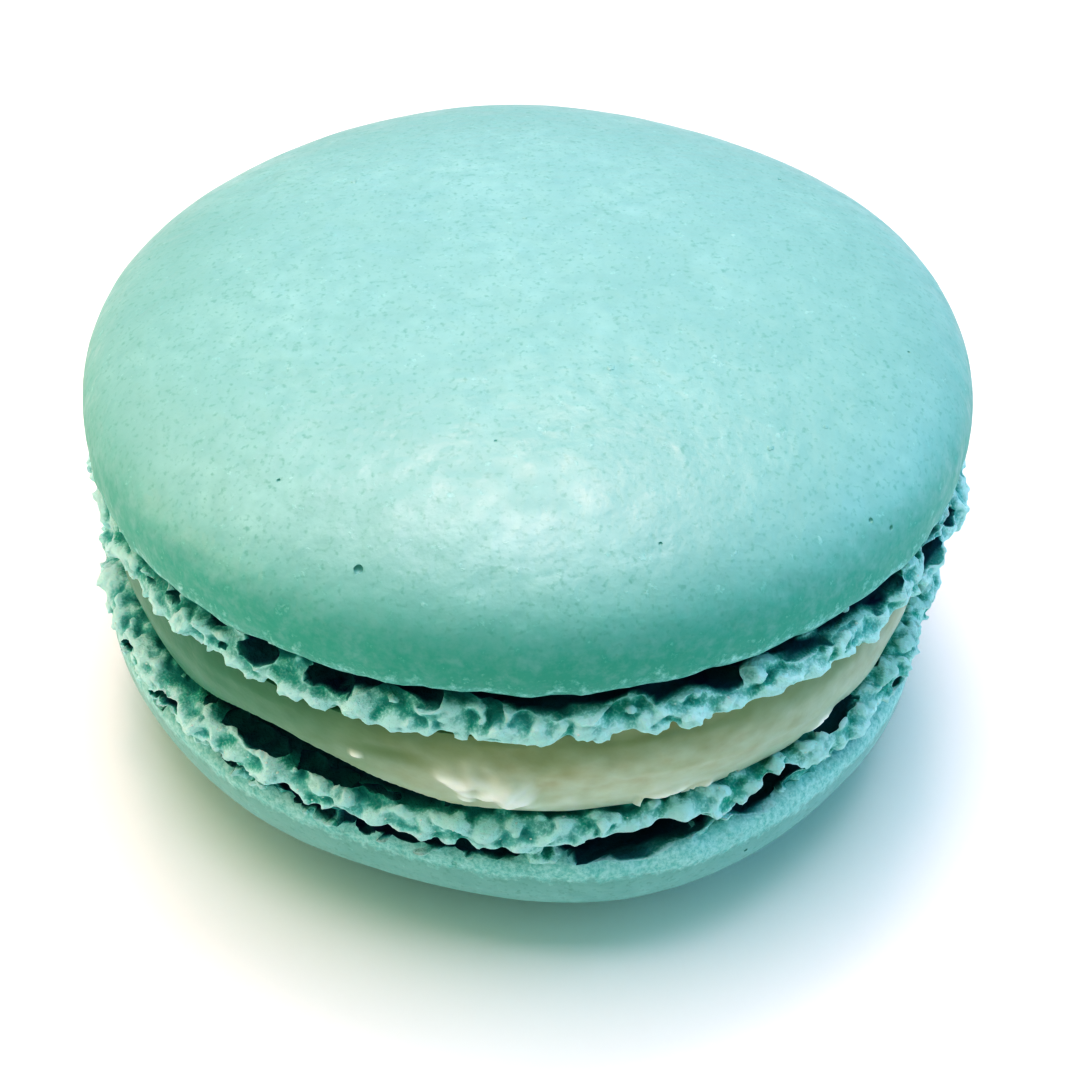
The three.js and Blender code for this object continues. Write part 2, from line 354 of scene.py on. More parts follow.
def makeSkin():
    material, tree, shader, place = startMaterial("bakedMeringueSkin")
    marks = readMarks(tree)
    drift = makePatches(tree, place, skinLook["driftSize"], 0.3, 0.7)
    mottle = makePatches(tree, place, skinLook["mottleSize"], 0.3, 0.75, 3)
    grain = makePatches(tree, place, skinLook["grainSize"], 0.56, 0.75)
    fleck = makePatches(tree, place, skinLook["fleckSize"], 0.3, 0.7, 4, 0.6)
    torn = makePatches(tree, place, skinLook["tornSize"], 0.3, 0.7, 4, 0.7)
    grit = makePatches(tree, place, crumbLook["grainSize"], 0.3, 0.7, 4, 0.7)
    # painted shade: darker toward the lip, unevenly
    share, least = skinLook["lipShadeShare"]
    settings = {"operation": 'MULTIPLY_ADD', 1: share, 2: least}
    uneven = addNode(tree, "ShaderNodeMath", settings, {0: fleck}).outputs[0]
    settings = {"operation": 'MULTIPLY', "use_clamp": True}
    lip = addNode(tree, "ShaderNodeMath", settings, {0: uneven, 1: marks["Y"]}).outputs[0]
    settings = {"operation": 'MULTIPLY_ADD', 1: skinLook["tornShare"]}
    ripped = addNode(tree, "ShaderNodeMath", settings, {0: torn, 2: marks["Z"]}).outputs[0]
    settings = dict(zip(("From Min", "From Max"), skinLook["torn"]))
    crumbly = addNode(tree, "ShaderNodeMapRange", settings, {"Value": ripped}).outputs[0]
    rough = addNode(tree, "ShaderNodeMath", {"operation": 'MULTIPLY'}, {0: grit, 1: crumbly}).outputs[0]

    drifted = layColours(tree, skinLook["colour"], (skinLook["paleColour"], drift))
    gritty = layColours(tree, crumbLook["colour"], (crumbLook["paleColour"], grit))
    coloured = layColours(tree, skinLook["colour"], (drifted, mottle), (skinLook["grainColour"], grain),
                          (skinLook["lipShadeColour"], lip), (gritty, crumbly))
    tree.links.new(coloured, shader.inputs["Base Color"])
    shader.inputs["IOR"].default_value = skinLook["ior"]
    shader.inputs["Sheen Weight"].default_value = skinLook["sheen"]
    shader.inputs["Sheen Roughness"].default_value = skinLook["sheenRoughness"]
    smooth, dull = skinLook["roughness"]
    blotch = makePatches(tree, place, skinLook["blotchSize"], detail=3)
    satin = addNode(tree, "ShaderNodeMapRange", {"To Min": smooth, "To Max": dull}, {"Value": blotch})
    tree.links.new(satin.outputs["Result"], shader.inputs["Roughness"])
    swell = makePatches(tree, place, skinLook["swellSize"], 0, 1, 3)
    fine = makePatches(tree, place, skinLook["fineSize"], 0, 1, 3)
    stackBumps(tree, shader, ((swell, skinLook["swellDepth"], 1.0), (fine, skinLook["fineDepth"], 1.0),
                              (rough, skinLook["gritDepth"], 1.0)))
    return material


# Whipped buttercream: butter and sugar, pale ivory, smooth and a little greasy, so it has a soft
# sheen, lets some light in and keeps the drag marks of the palette knife.
creamLook = {
    # the smear's colour, last on the next line, is a painted highlight
    "colour": "#bcd2b6", "paleColour": "#cadecc", "warmColour": "#babf9e", "smearHighlightColour": "#ebfbf4",
    # both colours on this line are painted shade: near the upper shell, and of the shells
    "shadeNearTopColour": "#7f9058", "shadeColour": "#0c846c",
    "patchSize": 4.0, "dragSize": 1.4, "dragDepth": 0.1, "dragFlatness": 1.5,
    "ior": 1.46, "roughness": 0.38, "lightIn": 0.35, "lightDepth": (0.9, 0.8, 0.45),
}


def makeCream():
    material, tree, shader, place = startMaterial("whippedButtercream")
    flatter = {"Scale": (1, 1, creamLook["dragFlatness"])}
    drawn = addNode(tree, "ShaderNodeMapping", flatter, {"Vector": place}).outputs["Vector"]
    patch = makePatches(tree, drawn, creamLook["patchSize"], 0.3, 0.7, 3)
    drag = makePatches(tree, drawn, creamLook["dragSize"], 0.2, 0.8, 3)
    marks = readMarks(tree)
    coloured = layColours(tree, creamLook["warmColour"], (creamLook["colour"], patch),
                          (creamLook["paleColour"], drag), (creamLook["shadeNearTopColour"], marks["Z"]),
                          (creamLook["shadeColour"], marks["Y"]), (creamLook["smearHighlightColour"], marks["X"]))
    tree.links.new(coloured, shader.inputs["Base Color"])
    shader.inputs["IOR"].default_value = creamLook["ior"]
    shader.inputs["Roughness"].default_value = creamLook["roughness"]
    letLightIn(shader, creamLook)
    stackBumps(tree, shader, ((drag, creamLook["dragDepth"], 0.4),))
    return material


skin = makeSkin()
# The crumb in the burst hollows is a second copy painted darker, painted shade.
crumb = makeCrumb("meringueCrumb", crumbLook["footHollowShade"])
hollowShadedCrumb = makeCrumb("hollowShadedMeringueCrumb", crumbLook["burstHollowShade"])
cream = makeCream()
print("materials mixed")


capSettings = {
    "spread": 2.45, "rise": 2.82,        # |r/R| ^ spread + |z/H| ^ rise = 1, a fuller curve than an ellipse
    "lipDrop": 1.05, "lipTuck": 0.95,    # the lip rolls under, this far down and this far in
    "around": 320, "lipRings": 8, "domeRings": 41, "topShare": 0.996, "lipFade": (0.6, -0.6),
    # how wide the bumps are and how far they stand out
    "swell": (7.0, 0.14), "lipWave": (1.7, 0.42),
}

# Angles are degrees round from +X, and levels are above the cap's widest ring, which the foot is below.
topShell = {
    "name": "topShell", "node": "top_shell", "side": 1, "seed": 11,
    "centre": (0.14, 0.29), "level": 20.75, "lean": (-1.7, -0.94),
    "radius": 23.5, "height": 7.83, "flatSpot": 0,
    # painted shade making the skin darker toward the lip, and where it turns to crumb: share, from one level
    # to another
    "lipShade": (1.0, 4.8, 0.0), "crumbly": (0.45, 0.55, -0.4),
    "lobes": ((2, 0.28, -13), (3, 0.13, -8), (4, 0.11, 7), (5, 0.08, 24), (6, 0.07, -26)),
    "foot": {"depth": 3.75, "tuck": 1.3, "flare": 0.32, "crest": 0.78, "roll": 1.1,
             "lobes": ((1, 0.2, -20), (2, 0.24, -15))},
    "gapes": (), "skirt": 0,
    # pinholes in the skin: angle, level, radius
    "pits": ((-109.9, 4.34, 0.24), (-43.8, 3.4, 0.15), (-41.2, 2.57, 0.14), (-72, 5.1, 0.1), (-126, 5.6, 0.1),
             (-95, 6.9, 0.09), (-15, 5.4, 0.1), (35, 6.2, 0.12), (120, 4.4, 0.14), (170, 5.0, 0.1)),
    # where bubbles burst: angle, how far below the widest ring, half width, half height, reach
    "hollows": ((-139, 1.4, 1.0, 0.5, 2.0), (-131, 1.6, 1.1, 0.5, 2.0), (-123.5, 2.0, 1.3, 0.55, 1.7),
                (-113.8, 2.0, 1.6, 0.6, 1.8), (-108.5, 1.4, 1.4, 0.5, 2.2), (-103, 1.4, 1.8, 0.52, 2.3),
                (-92, 1.4, 3.6, 0.5, 2.4), (-80, 1.4, 2.4, 0.5, 2.2), (-72, 1.5, 1.2, 0.5, 2.1),
                (-65.5, 1.65, 1.2, 0.8, 2.6), (-57, 1.5, 1.1, 0.5, 1.9), (-48, 1.5, 1.6, 0.42, 2.0),
                (-39, 1.5, 1.1, 0.4, 1.9), (-29, 1.6, 1.1, 0.5, 2.1)),
    # smaller bursts all round: how many, then the ranges of the same four sizes
    "tears": ((90, (1.1, 1.5), (0.4, 1.2), (0.18, 0.34), (1.5, 2.1)),
              (30, (1.8, 2.6), (0.6, 1.6), (0.22, 0.42), (0.5, 1.1))),
}

bottomShell = {
    "name": "bottomShell", "node": "bottom_shell", "side": -1, "seed": 23,
    "centre": (-0.02, -0.43), "level": 7.9, "lean": (0, 0),
    "radius": 23.29, "height": 8.02, "flatSpot": 0.17,
    # painted shade toward the lip, and where the skin turns to crumb
    "lipShade": (0.3, 0.8, -0.5), "crumbly": (0.95, 0.8, -0.3),
    "lobes": ((2, 0.23, -32), (3, 0.29, -51), (4, 0.2, 25), (5, 0.12, -19), (7, 0.15, -22)),
    "foot": {"depth": 4.0, "tuck": 0.8, "flare": 0.35, "crest": 0.62, "roll": 1.7,
             "lobes": ((2, 0.45, 0), (3, 0.12, 60))},
    "hollows": ((-147, 0.95, 0.9, 0.8, 2.0), (-140.5, 1.2, 0.5, 0.6, 1.6), (-132, 1.7, 1.2, 1.2, 2.2),
                (-120.7, 1.75, 1.4, 1.15, 2.2), (-116, 1.6, 0.8, 0.8, 1.9), (-110.8, 1.4, 1.05, 1.05, 2.1),
                (-104.7, 1.6, 1.9, 1.0, 2.2), (-97.7, 1.4, 1.1, 0.85, 2.1), (-91, 1.3, 1.3, 0.8, 2.1),
                (-80.5, 1.75, 2.0, 0.95, 3.0), (-74.5, 1.85, 2.8, 1.25, 3.4), (-69, 1.95, 1.8, 1.0, 2.8),
                (-56.3, 2.15, 2.2, 1.3, 3.4), (-38, 1.7, 1.0, 0.9, 1.6)),
    "skirt": 240,   # crumbs that cling to the lip
    "pits": ((97.8, -0.08, 0.17), (60, 1.2, 0.12), (-70, 1.9, 0.14), (-150, 0.8, 0.12)),
    # the gap beside the cream: angle, distance from the middle, half width, half height, half depth
    "gapes": ((-137, 22.05, 1.5, 0.3, 0.35), (-131, 21.95, 1.8, 0.45, 0.4), (-125, 21.85, 1.9, 0.55, 0.45),
              (-119, 21.8, 1.9, 0.55, 0.45), (-113, 21.9, 1.8, 0.45, 0.42), (-107, 22.0, 1.7, 0.38, 0.4),
              (-101, 22.15, 1.4, 0.3, 0.35), (-44, 22.5, 1.5, 0.8, 0.8), (-40, 22.5, 1.1, 0.6, 0.7)),
    "tears": ((46, (1.2, 1.8), (0.4, 1.1), (0.2, 0.36), (1.3, 1.9)),
              (40, (1.8, 3.0), (0.5, 1.3), (0.2, 0.36), (0.3, 0.7))),
}

crumbSettings = {
    "innerRadius": 20.6, "around": 400, "coreRadius": 21.0, "coreAround": 160,
    # from and to which radius the crumb begins, and which share of the depth the lower edge spreads
    "shows": (21.0, 21.9), "rimGap": 0.3, "frill": (0.1, 0.5),
    "coarseVoxel": 0.2, "fineVoxel": 0.12, "keepShare": 0.4,
    # how many, least and greatest size
    "lumps": ((130, 0.8, 1.6), (700, 0.3, 0.6)),
    "bubbles": ((50, 0.5, 0.9), (500, 0.24, 0.45)),
    "skirtSize": (0.35, 0.8), "skirtTuck": (0.35, 0.9), "skirtLevel": (-0.1, 0.15),
    # where strewn blobs begin, their spread of tilts, and how wide and how high they are for their size
    "blobModels": 6, "blobRagged": 0.3, "blobsFrom": 21.3, "blobTilt": 0.35,
    "blobWidth": (0.9, 1.8), "blobHeight": (0.6, 1.0),
    # how far the lumps are sunk and the bubbles stand out, as a share of their size
    "lumpsSunk": 0.33, "bubblesSunk": -0.2,
    # how wide the bumps are and how far they stand out
    "ruffle": (1.9, 1.1), "froth": (0.75, 0.55), "grain": (0.3, 0.45), "torn": (0.5, 0.5),
    # spread of the tilts in radians, and how far outside the foot a hollow starts
    "hollowTilt": 0.12, "tearTilt": 0.3, "hollowStart": 0.5,
    # larger bursts on the far side: how many, the angles between which they are, then a hollow's four sizes
    "farHollows": {"count": 9, "start": -5, "end": 200, "spacing": (0.2, 0.8),
                   "sizes": ((1.3, 2.1), (0.9, 2.4), (0.5, 0.8), (1.4, 2.2))},
}


def roughen(piece, name, bumps, group="", middle=0.5, **settings):
    width, depth = bumps
    texture = bpy.data.textures.new(name, 'CLOUDS')
    texture.noise_scale = width * mm
    for setting, value in settings.items():
        setattr(texture, setting, value)
    useModifier(piece, 'DISPLACE', texture=texture, strength=depth * mm, mid_level=middle,
                texture_coords='LOCAL', vertex_group=group)


def remesh(piece, voxel):
    useModifier(piece, 'REMESH', mode='VOXEL', voxel_size=voxel * mm)


def combine(piece, other, operation):   # joins or cuts two closed forms, and keeps each one's material
    useModifier(piece, 'BOOLEAN', operation=operation, solver='MANIFOLD', material_mode='TRANSFER',
                object=other)
    bpy.data.objects.remove(other)


def markPoints(piece, name, weights):
    group = piece.vertex_groups.new(name=name)
    for index in np.nonzero(weights > 0)[0]:
        group.add([int(index)], float(weights[index]), 'REPLACE')


def shapeCap(shell):
    radius, height = shell["radius"], shell["height"]
    tuck, drop, rings = capSettings["lipTuck"], capSettings["lipDrop"], capSettings["domeRings"]
    section = []
    for ring in range(capSettings["lipRings"] + 1):
        t = math.pi / 2 * (1 - ring / capSettings["lipRings"])
        section.append((radius - tuck * (1 - math.cos(t)), -drop * math.sin(t)))
    for ring in range(1, rings + 1):
        t = math.pi / 2 * min(ring / rings, capSettings["topShare"])
        level = height * math.sin(t) ** (2 / capSettings["rise"])
        section.append((radius * math.cos(t) ** (2 / capSettings["spread"]), level))
    cap = turnSection(shell["name"] + "Cap", section, capSettings["around"], "fill")
    points = readPoints(cap)
    angle = np.arctan2(points[:, 1], points[:, 0])
    points[:, :2] *= (1 + lobeReach(shell["lobes"], shell["side"] * angle) / radius)[:, None]
    points[:, 2] = np.minimum(points[:, 2], height - shell["flatSpot"])
    writePoints(cap, points)
    markPoints(cap, "lip", easeStep(points[:, 2], *capSettings["lipFade"]))
    roughen(cap, "batterSwell", capSettings["swell"])
    roughen(cap, "lipWave", capSettings["lipWave"], "lip", noise_depth=1)
    return cap


def footSection(shell, inner):
    foot, radius = shell["foot"], shell["radius"]
    depth, flare, crest = foot["depth"], foot["flare"], foot["crest"]
    start = 0.5 * capSettings["lipDrop"]
    section = [(inner, -start)]
    for ring in range(19):
        t = ring / 18
        swell = -foot["tuck"] + (flare + foot["tuck"]) * (1 - math.cos(math.pi * t / crest)) / 2
        turn = flare - foot["roll"] * (1 - math.sqrt(1 - max((t - crest) / (1 - crest), 0) ** 2))
        section.append((radius + (swell if t < crest else turn), -start - t * (depth - start)))
    section.append((inner, -depth))
    return section


def frillReach(shell, angle, height):   # the foot's lower edge spreads unevenly
    foot = shell["foot"]
    share = easeStep(-height / foot["depth"], *crumbSettings["frill"])
    return share * lobeReach(foot["lobes"], shell["side"] * angle)


def markCrumb(foot):   # the part of the ring that shows
    points = readPoints(foot)
    markPoints(foot, "crumb", easeStep(np.hypot(points[:, 0], points[:, 1]), *crumbSettings["shows"]))


def shapeFootRing(shell):
    section = footSection(shell, crumbSettings["innerRadius"])
    ring = turnSection(shell["name"] + "Foot", section, crumbSettings["around"], "bridge")
    points = readPoints(ring)
    reach = np.hypot(points[:, 0], points[:, 1])
    rim = easeStep(reach, crumbSettings["coreRadius"], shell["radius"] - crumbSettings["rimGap"])
    spread = rim * frillReach(shell, np.arctan2(points[:, 1], points[:, 0]), points[:, 2])
    points[:, :2] *= (1 + spread / reach)[:, None]
    writePoints(ring, points)
    remesh(ring, crumbSettings["coarseVoxel"])
    return ring


def shapeBlob(faces, ragged, seed):   # a ball 1 mm across with its points moved a little
    deselectAll()
    bpy.ops.mesh.primitive_ico_sphere_add(subdivisions=faces, radius=0.5 * mm)
    blob = bpy.context.object
    bpy.ops.object.mode_set(mode='EDIT')
    bpy.ops.mesh.select_all(action='SELECT')
    bpy.ops.transform.vertex_random(offset=ragged * mm, uniform=0.6, seed=seed)
    bpy.ops.object.mode_set(mode='OBJECT')
    return blob


def placeCopy(model, place):
    copy = model.copy()
    copy.data = model.data.copy()
    copy.matrix_world = place
    bpy.context.scene.collection.objects.link(copy)
    return copy


# Blobs strewn over the part of a foot that shows, sunk by a share of their size: the lumps of crumb
# are sunk, and the bubbles that are cut out stand a little proud.
def strewBlobs(shell, groups, sunk, draw):
    outline = footSection(shell, crumbSettings["blobsFrom"])[1:]
    lengths = np.cumsum([0] + [math.dist(a, b) for a, b in zip(outline, outline[1:])])
    radii, heights = zip(*outline)
    models = [shapeBlob(2, crumbSettings["blobRagged"], seed) for seed in range(crumbSettings["blobModels"])]
    blobs = []
    for count, least, most in groups:
        for number in range(count):
            angle = draw.uniform(-math.pi, math.pi)
            along = draw.uniform(0.06, 1) * lengths[-1]
            size = draw.uniform(least, most)
            height = float(np.interp(along, lengths, heights))
            reach = float(np.interp(along, lengths, radii) + frillReach(shell, angle, height))
            onSide = float(easeStep(shell["foot"]["depth"] + height, 0.0, 0.6))
            reach -= sunk * size * onSide
            height = max(height, 0.2 * size - shell["foot"]["depth"]) + sunk * size * (1 - onSide)
            spot = Vector((reach * math.cos(angle), reach * math.sin(angle), height))
            tilt = draw.gauss(0, crumbSettings["blobTilt"])
            face = Matrix.Rotation(angle, 4, 'Z') @ Matrix.Rotation(tilt, 4, 'X')
            width, rise = (size * draw.uniform(*crumbSettings[key]) for key in ("blobWidth", "blobHeight"))
            place = Matrix.Translation(spot * mm) @ face @ Matrix.Diagonal((size, width, rise, 1))
            blobs.append(placeCopy(draw.choice(models), place))
    for number in range(shell["skirt"] if sunk > 0 else 0):
        angle, size = draw.uniform(-math.pi, math.pi), draw.uniform(*crumbSettings["skirtSize"])
        reach = shell["radius"] - draw.uniform(*crumbSettings["skirtTuck"])
        level = -capSettings["lipDrop"] + draw.uniform(*crumbSettings["skirtLevel"])
        spot = Vector((reach * math.cos(angle), reach * math.sin(angle), level))
        blobs.append(placeCopy(draw.choice(models), Matrix.Translation(spot * mm) @ Matrix.Scale(size, 4)))
    for model in models:
        bpy.data.objects.remove(model)
    return joinPieces(blobs, "blobs")


def listHollows(shell, draw):
    spots = [(*hollow, draw.gauss(0, crumbSettings["hollowTilt"])) for hollow in shell["hollows"]]
    far = crumbSettings["farHollows"]
    arc = far["end"] - far["start"]
    for number in range(far["count"]):
        angle = far["start"] + (number + draw.uniform(*far["spacing"])) * arc / far["count"]
        spots.append((angle, *(draw.uniform(*span) for span in far["sizes"]), 0))
    for count, *sizes in shell["tears"]:
        for number in range(count):
            angle = draw.uniform(-180, 180)
            drawn = [draw.uniform(*span) for span in sizes]
            spots.append((angle, *drawn, draw.gauss(0, crumbSettings["tearTilt"])))
    return spots


def shapeHollows(shell, draw):
    model = shapeBlob(4, 0, 0)
    cutters = []

    def cut(angle, spot, tilt, sizes):
        turn = Matrix.Rotation(math.radians(shell["side"] * angle), 4, 'Z')
        place = Matrix.Translation(Vector(spot) * mm) @ Matrix.Rotation(tilt, 4, 'X')
        cutters.append(placeCopy(model, turn @ place @ Matrix.Diagonal((*sizes, 1))))

    for angle, below, width, height, reach, tilt in listHollows(shell, draw):
        outside = (shell["radius"] + crumbSettings["hollowStart"], 0, -below)
        cut(angle, outside, tilt, (2 * reach + 0.8, 2 * width, 2 * height))
    for angle, reach, width, height, depth in shell["gapes"]:
        cut(angle, (reach, 0, -shell["foot"]["depth"]), 0, (2 * depth, 2 * width, 2 * height))
    bpy.data.objects.remove(model)
    hollows = joinPieces(cutters, "hollows")
    remesh(hollows, crumbSettings["fineVoxel"])
    roughen(hollows, "tornCrumb", crumbSettings["torn"], middle=0.45, noise_depth=2)
    remesh(hollows, crumbSettings["fineVoxel"])
    useModifier(hollows, 'DECIMATE', ratio=crumbSettings["keepShare"])
    return hollows


def domeReach(shell, level):
    fall = 1 - (max(level, 0) / shell["height"]) ** capSettings["rise"]
    return shell["radius"] * fall ** (1 / capSettings["spread"])


def shapePits(shell):
    model = shapeBlob(2, 0.05, 3)
    pits = []
    for angle, level, radius in shell["pits"]:
        turn = math.radians(angle)
        reach = domeReach(shell, level) + float(lobeReach(shell["lobes"], shell["side"] * turn))
        spot = Vector((reach * math.cos(turn), reach * math.sin(turn), level))
        pits.append(placeCopy(model, Matrix.Translation(spot * mm) @ Matrix.Scale(2 * radius, 4)))
    bpy.data.objects.remove(model)
    return joinPieces(pits, "pits")


def bakeFoot(shell, draw):
    foot = shapeFootRing(shell)
    markCrumb(foot)
    roughen(foot, "ruffle", crumbSettings["ruffle"], "crumb", noise_type='HARD_NOISE', noise_depth=3)
    lumps = strewBlobs(shell, crumbSettings["lumps"], crumbSettings["lumpsSunk"], draw)
    foot = joinPieces([foot, lumps], shell["name"] + "Foot")
    remesh(foot, crumbSettings["fineVoxel"])
    markCrumb(foot)
    roughen(foot, "froth", crumbSettings["froth"], "crumb", noise_type='HARD_NOISE', noise_depth=2)
    bubbles = strewBlobs(shell, crumbSettings["bubbles"], crumbSettings["bubblesSunk"], draw)
    remesh(bubbles, crumbSettings["fineVoxel"])
    combine(foot, bubbles, 'DIFFERENCE')
    remesh(foot, crumbSettings["fineVoxel"])
    markCrumb(foot)
    roughen(foot, "crumbGrain", crumbSettings["grain"], "crumb", noise_depth=3)
    useModifier(foot, 'DECIMATE', ratio=crumbSettings["keepShare"])
    return foot


def shapeCore(shell):   # the plain middle of the foot, which the cream covers
    radius, low = crumbSettings["coreRadius"], 0.02 - shell["foot"]["depth"]
    high = -0.5 * capSettings["lipDrop"]
    return turnSection("core", [(radius, low), (radius, high)], crumbSettings["coreAround"], "fill")


def storeMarks(piece, marks):
    layer = piece.data.attributes.new("marks", 'FLOAT_VECTOR', 'POINT')
    layer.data.foreach_set("vector", marks.ravel())


reliefSettings = {
    "softSteps": 30, "depth": 0.5,   # against the form smoothed over about a millimetre
    # from and to how far inside the foot's outline its relief fades, and a hollow turns dark with painted
    # shade
    "fading": (1.3, 0.4), "hollowShading": (0.5, 1.1),
    # painted shade beside the cream: share, from and to how far out of the cap's radius, and how near the
    # cream's seat
    "besideCreamShade": ((0.45, -0.7, -1.3), (0.8, -1.3, -1.9)), "seat": (1.2, 0.5), "lipEdge": 0.35,
}


def measureRelief(mesh, points):   # how far each point stands out of the smoothed form
    ends = np.empty(len(mesh.edges) * 2, dtype=np.int64)
    mesh.edges.foreach_get("vertices", ends)
    ends = np.concatenate([ends.reshape(-1, 2), ends.reshape(-1, 2)[:, ::-1]])
    start, end = ends.T
    count = np.bincount(start, minlength=len(points))
    soft = points.copy()
    for step in range(reliefSettings["softSteps"]):
        soft = np.stack([np.bincount(start, soft[end, axis], len(points)) / count for axis in range(3)], 1)
    normals = np.empty(len(points) * 3)
    mesh.vertices.foreach_get("normal", normals)
    return ((points - soft) * normals.reshape(-1, 3)).sum(axis=1)


# Relief, for painted light on ridges and painted shade in recesses, lowered into painted shade in a hollow
# and beside the cream, and the painted shade of the skin and where it turns to crumb at the lip.
def paintMarks(shell, piece):
    points = readPoints(piece)
    relief = measureRelief(piece.data, points)
    radii, heights = zip(*footSection(shell, crumbSettings["coreRadius"])[1:-1])
    full = np.interp(-points[:, 2], [-height for height in heights], radii)
    full += frillReach(shell, np.arctan2(points[:, 1], points[:, 0]), points[:, 2])
    full = np.maximum(full, shell["radius"] - reliefSettings["lipEdge"])
    reach, seat = np.hypot(points[:, 0], points[:, 1]), points[:, 2] + shell["foot"]["depth"]
    inside = np.minimum(full - reach, seat)
    marks = np.zeros((len(points), 3))
    marks[:, 0] = np.clip(0.5 + relief / reliefSettings["depth"], 0, 1)
    marks[:, 0] *= easeStep(inside, *reliefSettings["fading"])
    marks[:, 0] -= easeStep(inside, *reliefSettings["hollowShading"])
    beyond = reach - shell["radius"]
    besideCreamShade = sum(share * easeStep(beyond, *span) for share, *span in reliefSettings["besideCreamShade"])
    marks[:, 0] -= besideCreamShade * easeStep(seat, *reliefSettings["seat"])
    for column, (share, start, end) in ((1, shell["lipShade"]), (2, shell["crumbly"])):
        marks[:, column] = share * easeStep(points[:, 2], start, end)
    storeMarks(piece, marks)


def placeShell(shell, piece):
    turn = Matrix.Rotation(math.radians(shell["lean"][1]), 4, 'Y') @ Matrix.Rotation(
        math.radians(shell["lean"][0]) + (0 if shell["side"] > 0 else math.pi), 4, 'X')
    piece.matrix_world = Matrix.Translation(Vector((*shell["centre"], shell["level"])) * mm) @ turn
    pickOnly(piece)
    bpy.ops.object.transform_apply()


def dropChips(piece):   # crumbs that the cuts left loose
    points = readPoints(piece)
    pickOnly(piece)
    bpy.ops.object.mode_set(mode='EDIT')
    bpy.ops.mesh.select_all(action='DESELECT')
    bpy.ops.object.mode_set(mode='OBJECT')
    piece.data.vertices[int(points[:, 2].argmax())].select = True
    bpy.ops.object.mode_set(mode='EDIT')
    bpy.ops.mesh.select_linked()
    bpy.ops.mesh.select_all(action='INVERT')
    bpy.ops.mesh.delete(type='VERT')
    bpy.ops.object.mode_set(mode='OBJECT')


def makeShell(shell):
    draw = random.Random(shell["seed"])
    cap, foot, core = shapeCap(shell), bakeFoot(shell, draw), shapeCore(shell)
    hollows, pits = shapeHollows(shell, draw), shapePits(shell)
    for piece, material in ((cap, skin), (pits, skin), (foot, crumb), (core, crumb), (hollows, hollowShadedCrumb)):
        piece.data.materials.clear()
        piece.data.materials.append(material)
    combine(cap, pits, 'DIFFERENCE')
    combine(foot, core, 'UNION')
    combine(cap, foot, 'UNION')
    combine(cap, hollows, 'DIFFERENCE')
    dropChips(cap)
    cap.name = shell["name"]
    paintMarks(shell, cap)
    pickOnly(cap)
    bpy.ops.object.shade_smooth_by_angle(angle=math.radians(40))
    placeShell(shell, cap)
    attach(cap, "root")
    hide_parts(shell["node"])
    print(shell["name"], "made of", sum(len(face.vertices) - 2 for face in cap.data.polygons), "triangles")
    return cap


shells = [makeShell(shell) for shell in (topShell, bottomShell)]

creamSettings = {
    "radius": 22.5, "bulge": 0.6, "seatGap": 0.05, "around": 900, "rings": 40, "innerRadius": 18.5,
    "lobes": ((1, 0.22, -45), (3, 0.15, -85), (5, 0.12, 20)),
    "undercut": {"angle": -120, "spread": 17, "depth": 3.2, "lean": 0.3},
    # strokes of the palette knife: how many, and the ranges of level, length in degrees, width and reach
    "seed": 5, "strokes": {"count": 30, "level": (0.05, 0.95), "length": (6, 26), "width": (0.03, 0.12),
                           "reach": (-0.06, 0.07), "drift": (-0.12, 0.12)},
    # ridges pulled up by the knife, painted white as a highlight: angle, level, half length in degrees, half
    # height, slope, reach
    "smears": ((-97.4, 14.9, 2.2, 0.4, -0.04, 0.25), (-93.2, 14.3, 3.8, 0.85, -0.09, 0.4),
               (-90.4, 13.6, 2.4, 0.95, -0.05, 0.4), (-96.0, 13.4, 1.0, 0.4, -0.1, 0.25),
               (-109.5, 15.16, 0.8, 0.2, 0, 0.15), (-71.4, 12.75, 2.6, 0.26, 0.02, 0.3),
               (-66.8, 12.3, 1.6, 0.2, 0.03, 0.3), (-74.9, 12.0, 0.35, 0.45, 0.2, 0.35),
               (-49, 12.9, 2.4, 0.25, 0.03, 0.25), (-20, 14.2, 2.4, 0.5, 0.15, 0.25)),
    # torn out of the lower edge: angle, half width in degrees, height, depth
    "torn": ((-73.6, 0.8, 0.45, 0.8), (-70.2, 0.7, 0.35, 0.7), (-67.2, 1.1, 0.4, 0.8), (-62, 0.8, 0.25, 0.5),
             (-49.5, 1.4, 0.5, 1.2), (-45.2, 3.4, 0.95, 1.8), (-38.9, 0.9, 0.6, 1.3), (-33, 0.8, 0.4, 0.8),
             (-23, 0.9, 0.9, 0.9), (-18.5, 0.7, 0.7, 0.9), (-14, 0.9, 0.9, 1.0)),
    # in the shade of the shells: angle, spread, share
    "shades": ((-152, 47, 0.88), (-36, 28, 0.26), (90, 70, 0.3)),
    # painted light: paler toward its lower edge in front
    "litLowerEdge": {"share": 0.35, "angle": -82, "spread": 24},
    # painted shade: darker near the upper shell, and most at one spot
    "shadeNearTop": {"share": 0.65, "angle": -105.5, "spread": 6.5, "level": 15.9, "height": 0.7},
}


def upperSeat(x, y):   # the level of the top shell's flat side over a place
    level, (leanX, leanY) = topShell["level"], topShell["lean"]
    turn = Matrix.Rotation(math.radians(leanY), 3, 'Y') @ Matrix.Rotation(math.radians(leanX), 3, 'X')
    normal = turn @ Vector((0, 0, 1))
    middle = Vector((*topShell["centre"], level)) - normal * topShell["foot"]["depth"]
    return middle.z - (normal.x * (x - middle.x) + normal.y * (y - middle.y)) / normal.z


def turnBetween(angle, middle):   # degrees from one direction to others, -180 to 180
    return (np.degrees(angle) - middle + 180) % 360 - 180


